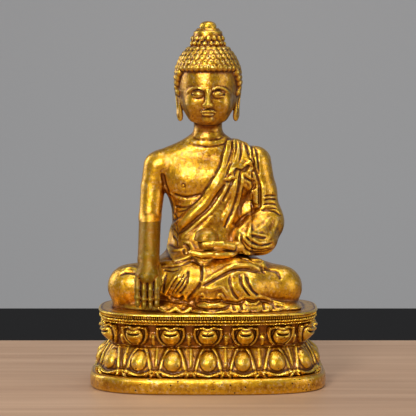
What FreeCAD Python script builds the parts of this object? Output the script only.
"""Seated buddha statue in the earth-touching pose on a double lotus throne: separate brass castings.

Millimetres, +Z up. The origin is the centre of the footprint, on the surface that the statue stands on.
The figure faces -Y, so its own right hand is at -X. The throne is a stack of hollow castings that two
long screws pull against the figure. The head, left arm, right forearm and left hand are spigoted and pinned.
"""
import math
import os

import FreeCAD
import Part

V = FreeCAD.Vector

# ---- driving dimensions -------------------------------------------------------------------------
TOTAL_HEIGHT = 203.0          # eight inches

# plan of the throne: a superellipse, given by its half width, half depth and power
PLAN_POWER = 3.2
PLINTH_HALF = (66.0, 44.3)
LOWER_HALF = (61.4, 40.4)     # foot of the lower petals
WAIST_HALF = (54.4, 33.8)
UPPER_HALF = (58.8, 37.4)     # tips of the upper petals
SEAT_HALF = (61.4, 39.4)

# levels of the throne, from the floor up
PLATE_BOTTOM, PLATE_TOP = 1.2, 2.2
FLANGE_BOTTOM = 6.8
PLINTH_TOP = 9.0
WAIST_Z = 24.6
COLLAR_Z = 36.0
UPPER_TOP = 38.6
SEAT_TOP = 43.5

PETALS = 18                   # in each row, one of them centred on the front
PETAL_BULGE = 1.3             # how far a petal's middle stands out past its edges
WALL = 4.2                    # casting wall of the throne
LIP_HEIGHT = 1.5              # height of the rebate that centres each casting on the one below
LIP_WIDTH = 3.0
LIP_GAP = 0.25

# figure
SKIRT_HALF = (50.0, 30.0)
KNEE_Z = 56.0
KNEE_RADIUS = 11.0
RIGHT_KNEE = V(-44.0, -8.0, KNEE_Z)
LEFT_KNEE = V(41.0, -8.0, KNEE_Z)
SHOULDER_RADIUS = 8.6
ELBOW_RADIUS = 6.3
SLEEVE_RADIUS = 7.8
RIGHT_SHOULDER = V(-28.6, 7.0, 123.2)
RIGHT_ELBOW = V(-32.6, 3.0, 93.0)
RIGHT_WRIST = V(-32.2, -21.0, 72.0)
RIGHT_KNUCKLES = V(-32.6, -29.0, 64.0)
RIGHT_FINGERTIPS = V(-33.0, -32.5, 48.5)
LEFT_SHOULDER = V(27.6, 7.0, 123.4)
LEFT_ELBOW = V(33.4, 4.0, 91.0)
LEFT_CUFF = V(17.5, -15.5, 79.0)
SHOULDER_PLANE = 27.4         # the flat joint between the left arm and the torso, measured from x = 0
NECK_CENTRE_Y = 6.0
NECK_RADIUS = 7.8
NECK_JOINT_Z = 137.6
JEWEL_JOINT_Z = 199.0

# left palm and the bowl on it
PALM_Z = 77.6
BOWL_CENTRE = V(-0.9, -21.5, PALM_Z)
BOWL_RADIUS = 6.9
BOWL_HEIGHT = 11.6

# fasteners
TIE_SCREW_RADIUS = 2.0        # M4
TIE_SCREW_X = 20.0
TIE_SCREW_Y = 2.0
TIE_SCREW_TOP = 56.0
TIE_BAR = (11.0, 66.0, 1.8)   # width, length and thickness
CLEARANCE = 0.3               # round a screw's shank
FIT = 0.03                    # round a pin, dowel or spigot
PLATE_SCREW_RADIUS = 1.25     # M2.5
PLATE_SCREW_X, PLATE_SCREW_Y = 50.5, 24.5
PIN_RADIUS = 1.0
PIN_LENGTH = 25.0             # before its head is dressed flush
DOWEL_RADIUS = 1.5
DOWEL_X, DOWEL_Y = 36.0, -4.0
SPIGOT_RADIUS = 4.0


# ---- shapes -------------------------------------------------------------------------------------
def plan_points(half, z, count):
    """Points of the throne's plan curve at one level, evenly spaced in angle parameter."""
    a, b = half
    points = []
    for i in range(count):
        t = 2 * math.pi * i / count
        c, s = math.cos(t), math.sin(t)
        x = a * math.copysign(abs(c) ** (2 / PLAN_POWER), c)
        y = b * math.copysign(abs(s) ** (2 / PLAN_POWER), s)
        points.append(V(x, y, z))
    return points


def plan_wire(half, z):
    curve = Part.BSplineCurve()
    curve.interpolate(plan_points(half, z, 32), PeriodicFlag=True)
    return Part.Wire(curve.toShape())


def plan_prism(half, bottom, top):
    return Part.Face(plan_wire(half, bottom)).extrude(V(0, 0, top - bottom))


def plan_loft(*sections):
    """A solid through (half, z) sections of the plan curve."""
    return Part.makeLoft([plan_wire(half, z) for half, z in sections], True, True)


def even_points(half, z, count):
    """Points evenly spaced by length along the plan curve, with a gap centred on the front."""
    dense = plan_points(half, z, 1440)
    start = dense.index(min(dense, key=lambda p: (p.y, abs(p.x))))
    dense = dense[start:] + dense[:start]
    lengths = [0.0]
    for p, q in zip(dense, dense[1:] + dense[:1]):
        lengths.append(lengths[-1] + p.distanceToPoint(q))
    found = []
    for i in range(count):
        wanted = lengths[-1] * (i + 0.5) / count
        k = next(j for j, length in enumerate(lengths) if length >= wanted)
        found.append(dense[k % len(dense)])
    return found


def petal_wire(half, z, bulge):
    """The plan curve as one outward arc for each petal."""
    corners = even_points(half, z, PETALS)
    arcs = []
    for p, q in zip(corners, corners[1:] + corners[:1]):
        out = (q - p).cross(V(0, 0, 1)).normalize()
        middle = (p + q) * 0.5 + out * (bulge + p.distanceToPoint(q) * 0.06)
        arcs.append(Part.Arc(p, middle, q).toShape())
    return Part.Wire(arcs)


def inset(half, by):
    return (half[0] - by, half[1] - by)


def cylinder(radius, start, end):
    axis = end - start
    return Part.makeCylinder(radius, axis.Length, start, axis)


def vertical(radius, x, y, bottom, top):
    return Part.makeCylinder(radius, top - bottom, V(x, y, bottom))


def box(low, high):
    size = high - low
    return Part.makeBox(size.x, size.y, size.z, low)


def turned(profile, centre):
    """A solid of revolution about the vertical through centre. The profile is (radius, height) pairs,
    and starts and ends on the axis."""
    wire = Part.makePolygon([V(r, 0, z) for r, z in profile] + [V(profile[0][0], 0, profile[0][1])])
    solid = Part.Face(wire).revolve(V(0, 0, 0), V(0, 0, 1), 360)
    solid.translate(centre)
    return solid


def limb(start, start_radius, end, end_radius):
    """A tapered limb with a round cap at each end."""
    length = start.distanceToPoint(end)
    lean = math.asin((start_radius - end_radius) / length)
    c, s = math.cos(lean), math.sin(lean)
    half = math.sin(math.pi / 4 + lean / 2), math.cos(math.pi / 4 + lean / 2)

    def on_cap(centre, radius, angle):
        return V(centre + radius * math.sin(angle), radius * math.cos(angle), 0)

    low = V(-start_radius, 0, 0)
    low_join = V(start_radius * s, start_radius * c, 0)
    high_join = V(length + end_radius * s, end_radius * c, 0)
    high = V(length + end_radius, 0, 0)
    low_middle = on_cap(0, start_radius, (lean - math.pi / 2) / 2)
    high_middle = on_cap(length, end_radius, (lean + math.pi / 2) / 2)
    edges = [
        Part.Arc(low, low_middle, low_join).toShape(),
        Part.LineSegment(low_join, high_join).toShape(),
        Part.Arc(high_join, high_middle, high).toShape(),
        Part.LineSegment(high, low).toShape(),
    ]
    solid = Part.Face(Part.Wire(edges)).revolve(V(0, 0, 0), V(1, 0, 0), 360)
    turn = FreeCAD.Rotation(V(1, 0, 0), end - start)
    solid.Placement = FreeCAD.Placement(start, turn)
    return solid


def ellipsoid(centre, rx, ry, rz):
    scale = FreeCAD.Matrix()
    scale.scale(rx, ry, rz)
    solid = Part.makeSphere(1.0).transformGeometry(scale)
    solid.translate(centre)
    return solid


def oval_loft(sections):
    """A solid through horizontal ellipses, each (centre x, centre y, z, half width, half depth)."""
    wires = []
    for x, y, z, rx, ry in sections:
        if rx >= ry:
            oval = Part.Ellipse(V(x + rx, y, z), V(x, y + ry, z), V(x, y, z))
        else:
            oval = Part.Ellipse(V(x, y + ry, z), V(x - rx, y, z), V(x, y, z))
        wires.append(Part.Wire(oval.toShape()))
    return Part.makeLoft(wires, True, False)


def joined(shapes):
    return shapes[0].fuse(shapes[1:]).removeSplitter()


# ---- throne -------------------------------------------------------------------------------------
def plate_screw_places():
    return [(sx * PLATE_SCREW_X, sy * PLATE_SCREW_Y) for sx in (-1, 1) for sy in (-1, 1)]


def tie_screw_places():
    return [(-TIE_SCREW_X, TIE_SCREW_Y), (TIE_SCREW_X, TIE_SCREW_Y)]


def make_plinth():
    """The plain foot: a ring with a recess for the cover plate, an inner flange and a centring lip."""
    outer = plan_loft(
        (inset(PLINTH_HALF, 0.7), 0.0),
        (PLINTH_HALF, 1.2),
        (inset(PLINTH_HALF, 0.2), PLINTH_TOP - 1.4),
        (inset(PLINTH_HALF, 1.4), PLINTH_TOP),
    )
    lip_half = inset(LOWER_HALF, WALL + LIP_GAP + 1.0)
    lip = plan_prism(lip_half, PLINTH_TOP, PLINTH_TOP + LIP_HEIGHT)
    recess = plan_prism(inset(PLINTH_HALF, WALL), 0, PLATE_TOP)
    room = plan_prism(inset(PLINTH_HALF, WALL + 3.0), PLATE_TOP, FLANGE_BOTTOM)
    opening = plan_prism(inset(lip_half, LIP_WIDTH), FLANGE_BOTTOM, PLINTH_TOP + LIP_HEIGHT)
    solid = outer.fuse(lip).cut(recess).cut(room)
    bosses = [vertical(4.0, x, y, PLATE_TOP, FLANGE_BOTTOM) for x, y in plate_screw_places()]
    solid = solid.fuse(bosses).cut(opening)
    holes = [vertical(PLATE_SCREW_RADIUS + 0.01, x, y, PLATE_TOP, 7.6) for x, y in plate_screw_places()]
    return solid.cut(Part.makeCompound(holes)).removeSplitter()


def make_base_plate():
    """The sheet that closes the hollow throne from below."""
    plate = plan_prism(inset(PLINTH_HALF, WALL + LIP_GAP), PLATE_BOTTOM, PLATE_TOP)
    holes = [
        vertical(PLATE_SCREW_RADIUS + 0.2, x, y, PLATE_BOTTOM, PLATE_TOP) for x, y in plate_screw_places()
    ]
    return plate.cut(Part.makeCompound(holes))


def make_plate_screws():
    screws = []
    for x, y in plate_screw_places():
        head = vertical(2.3, x, y, PLATE_BOTTOM - 0.9, PLATE_BOTTOM)
        slot = box(V(x - 3, y - 0.25, PLATE_BOTTOM - 0.9), V(x + 3, y + 0.25, PLATE_BOTTOM - 0.5))
        shank = vertical(PLATE_SCREW_RADIUS, x, y, PLATE_BOTTOM, 7.2)
        screws.append(head.cut(slot).fuse(shank).removeSplitter())
    return Part.makeCompound(screws)


def make_lotus_lower():
    """The lower row of petals, which flares down from the waist. A flange at the waist carries the lip."""
    outer = Part.makeLoft(
        [
            petal_wire(LOWER_HALF, PLINTH_TOP, PETAL_BULGE),
            petal_wire(inset(LOWER_HALF, 1.6), PLINTH_TOP + 6.0, PETAL_BULGE + 0.5),
            petal_wire(WAIST_HALF, WAIST_Z, 0.3),
        ],
        True,
        True,
    )
    flange_z = WAIST_Z - 2.5
    lip_half = inset(WAIST_HALF, WALL + LIP_GAP)
    lip = plan_prism(lip_half, WAIST_Z, WAIST_Z + LIP_HEIGHT)
    opening = plan_prism(inset(lip_half, LIP_WIDTH), flange_z, WAIST_Z + LIP_HEIGHT)
    room = plan_loft((inset(LOWER_HALF, WALL + 0.2), PLINTH_TOP), (inset(WAIST_HALF, WALL - 1.0), flange_z))
    return outer.fuse(lip).cut(room).cut(opening).removeSplitter()


def make_lotus_upper():
    """The upper row of petals, opening upwards, with the plain collar under the seat."""
    petals = Part.makeLoft(
        [
            petal_wire(WAIST_HALF, WAIST_Z, 0.3),
            petal_wire(inset(UPPER_HALF, 1.2), COLLAR_Z - 6.5, PETAL_BULGE + 0.5),
            petal_wire(UPPER_HALF, COLLAR_Z, PETAL_BULGE),
        ],
        True,
        True,
    )
    collar = plan_prism(inset(SEAT_HALF, 1.2), COLLAR_Z, UPPER_TOP)
    room = plan_loft((inset(WAIST_HALF, WALL), WAIST_Z), (inset(UPPER_HALF, WALL), UPPER_TOP))
    return petals.fuse(collar).cut(room).removeSplitter()


def make_seat():
    """The slab that the figure sits on, with a spigot that centres it in the collar."""
    slab = plan_loft(
        (inset(SEAT_HALF, 0.8), UPPER_TOP),
        (SEAT_HALF, UPPER_TOP + 1.4),
        (SEAT_HALF, SEAT_TOP - 1.0),
        (inset(SEAT_HALF, 1.0), SEAT_TOP),
    )
    spigot_half = inset(UPPER_HALF, WALL + LIP_GAP + 0.5)
    spigot = plan_prism(spigot_half, UPPER_TOP - LIP_HEIGHT, UPPER_TOP)
    spigot = spigot.cut(plan_prism(inset(spigot_half, LIP_WIDTH), UPPER_TOP - LIP_HEIGHT, UPPER_TOP))
    holes = [
        vertical(TIE_SCREW_RADIUS + CLEARANCE, x, y, UPPER_TOP, SEAT_TOP) for x, y in tie_screw_places()
    ]
    holes += [
        vertical(DOWEL_RADIUS + FIT, sx * DOWEL_X, DOWEL_Y, SEAT_TOP - 3.0, SEAT_TOP) for sx in (-1, 1)
    ]
    return slab.fuse(spigot).cut(Part.makeCompound(holes)).removeSplitter()


def make_seat_dowels():
    places = (-DOWEL_X, DOWEL_X)
    return Part.makeCompound(
        [vertical(DOWEL_RADIUS, x, DOWEL_Y, SEAT_TOP - 2.9, SEAT_TOP + 3.9) for x in places]
    )


def make_tie_bars():
    """Two straps under the plinth's flange, which the long screws pull up."""
    width, length, thick = TIE_BAR
    bars = []
    for x, y in tie_screw_places():
        low = V(x - width / 2, -length / 2, FLANGE_BOTTOM - thick)
        bar = box(low, low + V(width, length, thick))
        hole = vertical(TIE_SCREW_RADIUS + CLEARANCE, x, y, FLANGE_BOTTOM - thick, FLANGE_BOTTOM)
        bars.append(bar.cut(hole))
    return Part.makeCompound(bars)


def tie_washer_bottom():
    return FLANGE_BOTTOM - TIE_BAR[2] - 0.8


def make_tie_washers():
    washers = []
    for x, y in tie_screw_places():
        ring = vertical(4.5, x, y, tie_washer_bottom(), FLANGE_BOTTOM - TIE_BAR[2])
        bore = vertical(TIE_SCREW_RADIUS + 0.15, x, y, tie_washer_bottom(), FLANGE_BOTTOM - TIE_BAR[2])
        washers.append(ring.cut(bore))
    return Part.makeCompound(washers)


def make_tie_screws():
    """Long slotted screws that run up through the throne into the figure."""
    screws = []
    for x, y in tie_screw_places():
        top = tie_washer_bottom()
        head = vertical(3.6, x, y, top - 1.7, top)
        slot = box(V(x - 4, y - 0.5, top - 1.7), V(x + 4, y + 0.5, top - 0.9))
        shank = vertical(TIE_SCREW_RADIUS - 0.02, x, y, top, TIE_SCREW_TOP)
        screws.append(head.cut(slot).fuse(shank).removeSplitter())
    return Part.makeCompound(screws)


# ---- figure -------------------------------------------------------------------------------------
def torso_form():
    return oval_loft(
        [
            (0, 7.0, SEAT_TOP, 30.0, 19.0),
            (0, 7.5, 62.0, 27.0, 17.5),
            (0, 8.0, 78.0, 21.4, 14.0),
            (0, 8.0, 90.0, 19.8, 13.0),
            (0, 8.0, 98.0, 20.8, 13.0),
            (0, 8.0, 107.0, 24.2, 14.0),
            (0, 7.5, 117.0, 28.6, 14.0),
            (0, 7.0, 125.0, 29.6, 12.0),
            (0, 6.5, 130.6, 25.0, 10.4),
            (0, 6.2, 134.6, 16.0, 9.0),
            (0, NECK_CENTRE_Y, NECK_JOINT_Z, 10.4, 8.4),
        ]
    )


def right_arm_form():
    return limb(RIGHT_SHOULDER, SHOULDER_RADIUS, RIGHT_ELBOW, ELBOW_RADIUS)


def left_arm_form():
    upper = limb(LEFT_SHOULDER, SHOULDER_RADIUS, LEFT_ELBOW, SLEEVE_RADIUS)
    sleeve = limb(LEFT_ELBOW, SLEEVE_RADIUS, LEFT_CUFF, 6.4)
    return joined([upper, sleeve])


def shoulder_spigot(grow):
    """The short tenon of the left arm, inside the torso."""
    outer = V(SHOULDER_PLANE, LEFT_SHOULDER.y, LEFT_SHOULDER.z - 2)
    return cylinder(SPIGOT_RADIUS + grow, outer, outer - V(7.0, 0, 0))


def skirt_form():
    """The hem of the robe, spread on the seat under the legs, with its pleated end at the front."""
    spread = Part.makeLoft(
        [petal_wire(SKIRT_HALF, SEAT_TOP, 0.8), petal_wire(inset(SKIRT_HALF, 3.0), SEAT_TOP + 7.0, 0.8)],
        True,
        True,
    )
    fan = turned([(0, 0), (12.0, 0), (11.0, 2.2), (0, 3.6)], V(2.0, -24.5, SEAT_TOP))
    return spread.fuse(fan)


def make_body():
    """Torso, right upper arm, robe and crossed legs in one hollow casting, open underneath at the seat."""
    legs = [
        limb(V(-14, 6, 60), 13.0, RIGHT_KNEE, KNEE_RADIUS),
        limb(V(14, 6, 60), 13.0, LEFT_KNEE, KNEE_RADIUS),
        limb(RIGHT_KNEE, KNEE_RADIUS - 0.6, V(6, -23.5, 60.0), 8.6),
        limb(LEFT_KNEE, KNEE_RADIUS - 0.6, V(-2, -23.0, 54.5), 8.8),
        limb(V(4, -21.0, 66.0), 5.2, V(29, -17.0, 66.5), 4.6),
    ]
    solid = joined([torso_form()] + legs).fuse(skirt_form())
    solid = solid.cut(box(V(-70, -60, 20), V(70, 60, SEAT_TOP)))
    # a flat face at the left shoulder, for the arm
    solid = solid.cut(box(V(SHOULDER_PLANE, -30, 100), V(60, 40, 140))).fuse(right_arm_form())
    core = oval_loft(
        [
            (0, 8.0, SEAT_TOP, 14.0, 13.0),
            (0, 8.0, 62.0, 14.0, 12.0),
            (0, 8.0, 92.0, 13.0, 8.5),
            (0, 8.0, 108.0, 12.0, 7.0),
        ]
    )
    neck_socket = vertical(SPIGOT_RADIUS + 1.0 + FIT, 0, NECK_CENTRE_Y, NECK_JOINT_Z - 9, NECK_JOINT_Z + 1)
    holes = [neck_socket]
    holes += [
        vertical(TIE_SCREW_RADIUS, x, y, SEAT_TOP, TIE_SCREW_TOP + 1) for x, y in tie_screw_places()
    ]
    holes += [
        vertical(DOWEL_RADIUS + FIT, sx * DOWEL_X, DOWEL_Y, SEAT_TOP, SEAT_TOP + 4) for sx in (-1, 1)
    ]
    holes += [shoulder_spigot(FIT), elbow_spigot(FIT)]
    solid = solid.cut(core)
    for hole in holes + list(pin_holes().values()):
        solid = solid.cut(hole)
    solid = solid.cut(right_forearm_form()).cut(left_arm_form()).cut(left_hand_form())
    return max(solid.Solids, key=lambda s: s.Volume)


def pin_ends():
    """Where each pin stops inside the figure. All of them are driven in from the back, along Y."""
    return {
        "neck_pin": V(0, 0.5, NECK_JOINT_Z - 4.5),
        "left_shoulder_pin": V(23.6, 3.5, 121.0),
        "elbow_pin": RIGHT_ELBOW + V(0, -3.6, 6.5),
    }


def pin_holes():
    """A hole along Y for each pin, through both of the castings that it holds."""
    return {
        name: cylinder(PIN_RADIUS + FIT, end, end + V(0, PIN_LENGTH, 0))
        for name, end in pin_ends().items()
    }


def make_pin(name, form):
    """A pin whose head is dressed flush with the form that it is driven into."""
    end = pin_ends()[name]
    return cylinder(PIN_RADIUS, end, end + V(0, PIN_LENGTH, 0)).common(form)


def elbow_spigot(grow):
    """The tenon of the right forearm, inside the upper arm."""
    return cylinder(3.0 + grow, RIGHT_ELBOW, RIGHT_ELBOW + V(0, 0, 8.8 + 2 * grow))


def right_forearm_form():
    """Forearm, back of the hand and fingers, which reach down over the shin to the seat."""
    forearm = limb(RIGHT_ELBOW, ELBOW_RADIUS, RIGHT_WRIST, 5.2)
    back_of_hand = limb(RIGHT_WRIST, 5.2, RIGHT_KNUCKLES, 4.6)
    pieces = [forearm, back_of_hand]
    for i in range(4):
        across = V((i - 1.5) * 3.3, 0, 0)
        pieces.append(limb(RIGHT_KNUCKLES + across, 2.1, RIGHT_FINGERTIPS + across, 1.7))
    thumb_tip = RIGHT_KNUCKLES + V(8.0, 1.0, -7.0)
    pieces.append(limb(RIGHT_WRIST + V(3.0, -3.0, -4.0), 2.3, thumb_tip, 1.8))
    return joined(pieces)


def make_right_forearm():
    hand = right_forearm_form().fuse(elbow_spigot(0.0))
    return hand.cut(pin_holes()["elbow_pin"]).removeSplitter()


def make_left_arm():
    """Upper arm and wide sleeve, cut away for the wrist."""
    arm = left_arm_form().cut(box(V(-10, -30, 100), V(SHOULDER_PLANE, 40, 140)))
    arm = arm.fuse(shoulder_spigot(0.0))
    arm = arm.cut(pin_holes()["left_shoulder_pin"])
    arm = arm.cut(left_hand_form())
    return max(arm.Solids, key=lambda s: s.Volume)


def left_hand_form():
    """Open palm facing up in the lap, its fingers towards -X, with the wrist as a spigot in the sleeve."""
    wrist = limb(V(22.0, -13.5, 79.0), 3.2, V(13.0, -18.5, 77.0), 3.4)
    palm = ellipsoid(V(5.0, -20.5, PALM_Z - 2.0), 11.0, 5.8, 3.2)
    pieces = [wrist, palm]
    for i in range(4):
        y = BOWL_CENTRE.y - 4.2 + 2.8 * i
        pieces.append(limb(V(2.0, y, PALM_Z - 2.0), 1.75, V(-7.6, y, PALM_Z - 1.4), 1.4))
    above = box(V(-30, -50, PALM_Z), V(11, 10, PALM_Z + 20))
    return joined(pieces).cut(above)


def make_left_hand():
    hand = left_hand_form()
    peg_hole = vertical(1.2, BOWL_CENTRE.x, BOWL_CENTRE.y, PALM_Z - 2.2, PALM_Z)
    return hand.cut(peg_hole).removeSplitter()


def make_alms_bowl():
    """A bowl with a domed cover that stands loose on the palm, held by a short peg."""
    r, h = BOWL_RADIUS, BOWL_HEIGHT
    profile = [
        (0, -1.8),
        (1.0, -1.8),
        (1.0, 0),
        (0.55 * r, 0),
        (0.66 * r, 0.20 * h),
        (0.72 * r, 0.36 * h),
        (r, 0.46 * h),
        (0.99 * r, 0.60 * h),
        (0.88 * r, 0.76 * h),
        (0.66 * r, 0.90 * h),
        (0.34 * r, 0.98 * h),
        (0, h),
    ]
    return turned(profile, BOWL_CENTRE)


def make_head():
    """Head, ears, hair and topknot on the neck, with a spigot that sits in the torso."""
    cy = NECK_CENTRE_Y
    neck = vertical(NECK_RADIUS, 0, cy, NECK_JOINT_Z, 156)
    flare = oval_loft(
        [
            (0, cy, NECK_JOINT_Z, 10.4, 8.4),
            (0, cy, NECK_JOINT_Z + 2.5, 8.8, 8.2),
            (0, cy, NECK_JOINT_Z + 6.0, NECK_RADIUS - 0.5, NECK_RADIUS - 0.7),
        ]
    )
    face = ellipsoid(V(0, 1.5, 164.0), 15.6, 16.4, 18.2)
    # radius and level of the hair, then of the topknot
    crown = turned(
        [
            (0, 154.0),
            (15.0, 156.0),
            (17.4, 163.0),
            (18.3, 171.0),
            (17.6, 178.0),
            (15.9, 183.0),
            (13.0, 187.0),
            (9.6, 188.6),
            (9.2, 192.0),
            (8.6, 195.4),
            (7.2, 197.9),
            (5.4, JEWEL_JOINT_Z),
            (0, JEWEL_JOINT_Z),
        ],
        V(0, cy, 0),
    )
    spigot = vertical(SPIGOT_RADIUS + 1.0, 0, cy, NECK_JOINT_Z - 8.8, NECK_JOINT_Z)
    ears = [limb(V(s * 16.6, 4.5, 168), 2.4, V(s * 16.6, 3.0, 149.4), 1.9) for s in (-1, 1)]
    head = joined([neck, flare, face, crown, spigot] + ears)
    # the hollow inside
    core = turned(
        [(0, 156.0), (9.0, 159.0), (11.5, 166.0), (11.5, 173.0), (9.0, 180.0), (0, 184.0)],
        V(0, 4.0, 0),
    )
    jewel_socket = vertical(1.5 + FIT, 0, cy, JEWEL_JOINT_Z - 4.5, JEWEL_JOINT_Z)
    return head.cut(core).cut(jewel_socket).cut(pin_holes()["neck_pin"]).removeSplitter()


def make_crown_jewel():
    """The knob that plugs the topknot."""
    top = TOTAL_HEIGHT - JEWEL_JOINT_Z
    profile = [
        (0, -4.0),
        (1.5, -4.0),
        (1.5, 0),
        (3.9, 0),
        (4.6, 0.22 * top),
        (4.3, 0.52 * top),
        (3.2, 0.82 * top),
        (1.4, 0.97 * top),
        (0, top),
    ]
    return turned(profile, V(0, NECK_CENTRE_Y, JEWEL_JOINT_Z))


def main():
    os.makedirs("parts", exist_ok=True)
    nodes = {
        "plinth": make_plinth(),
        "base_plate": make_base_plate(),
        "base_plate_screws": make_plate_screws(),
        "lotus_lower": make_lotus_lower(),
        "lotus_upper": make_lotus_upper(),
        "seat": make_seat(),
        "seat_dowels": make_seat_dowels(),
        "tie_bars": make_tie_bars(),
        "tie_washers": make_tie_washers(),
        "tie_screws": make_tie_screws(),
        "body": make_body(),
        "head": make_head(),
        "crown_jewel": make_crown_jewel(),
        "right_forearm": make_right_forearm(),
        "left_arm": make_left_arm(),
        "left_hand": make_left_hand(),
        "alms_bowl": make_alms_bowl(),
        "neck_pin": make_pin("neck_pin", torso_form()),
        "left_shoulder_pin": make_pin("left_shoulder_pin", torso_form()),
        "elbow_pin": make_pin("elbow_pin", right_arm_form()),
    }
    for name, shape in nodes.items():
        shape.exportStep(f"parts/{name}.step")
        volume = round(shape.Volume / 1e3, 2)
        print(name, "valid", shape.isValid(), "solids", len(shape.Solids), "cm3", volume)


main()
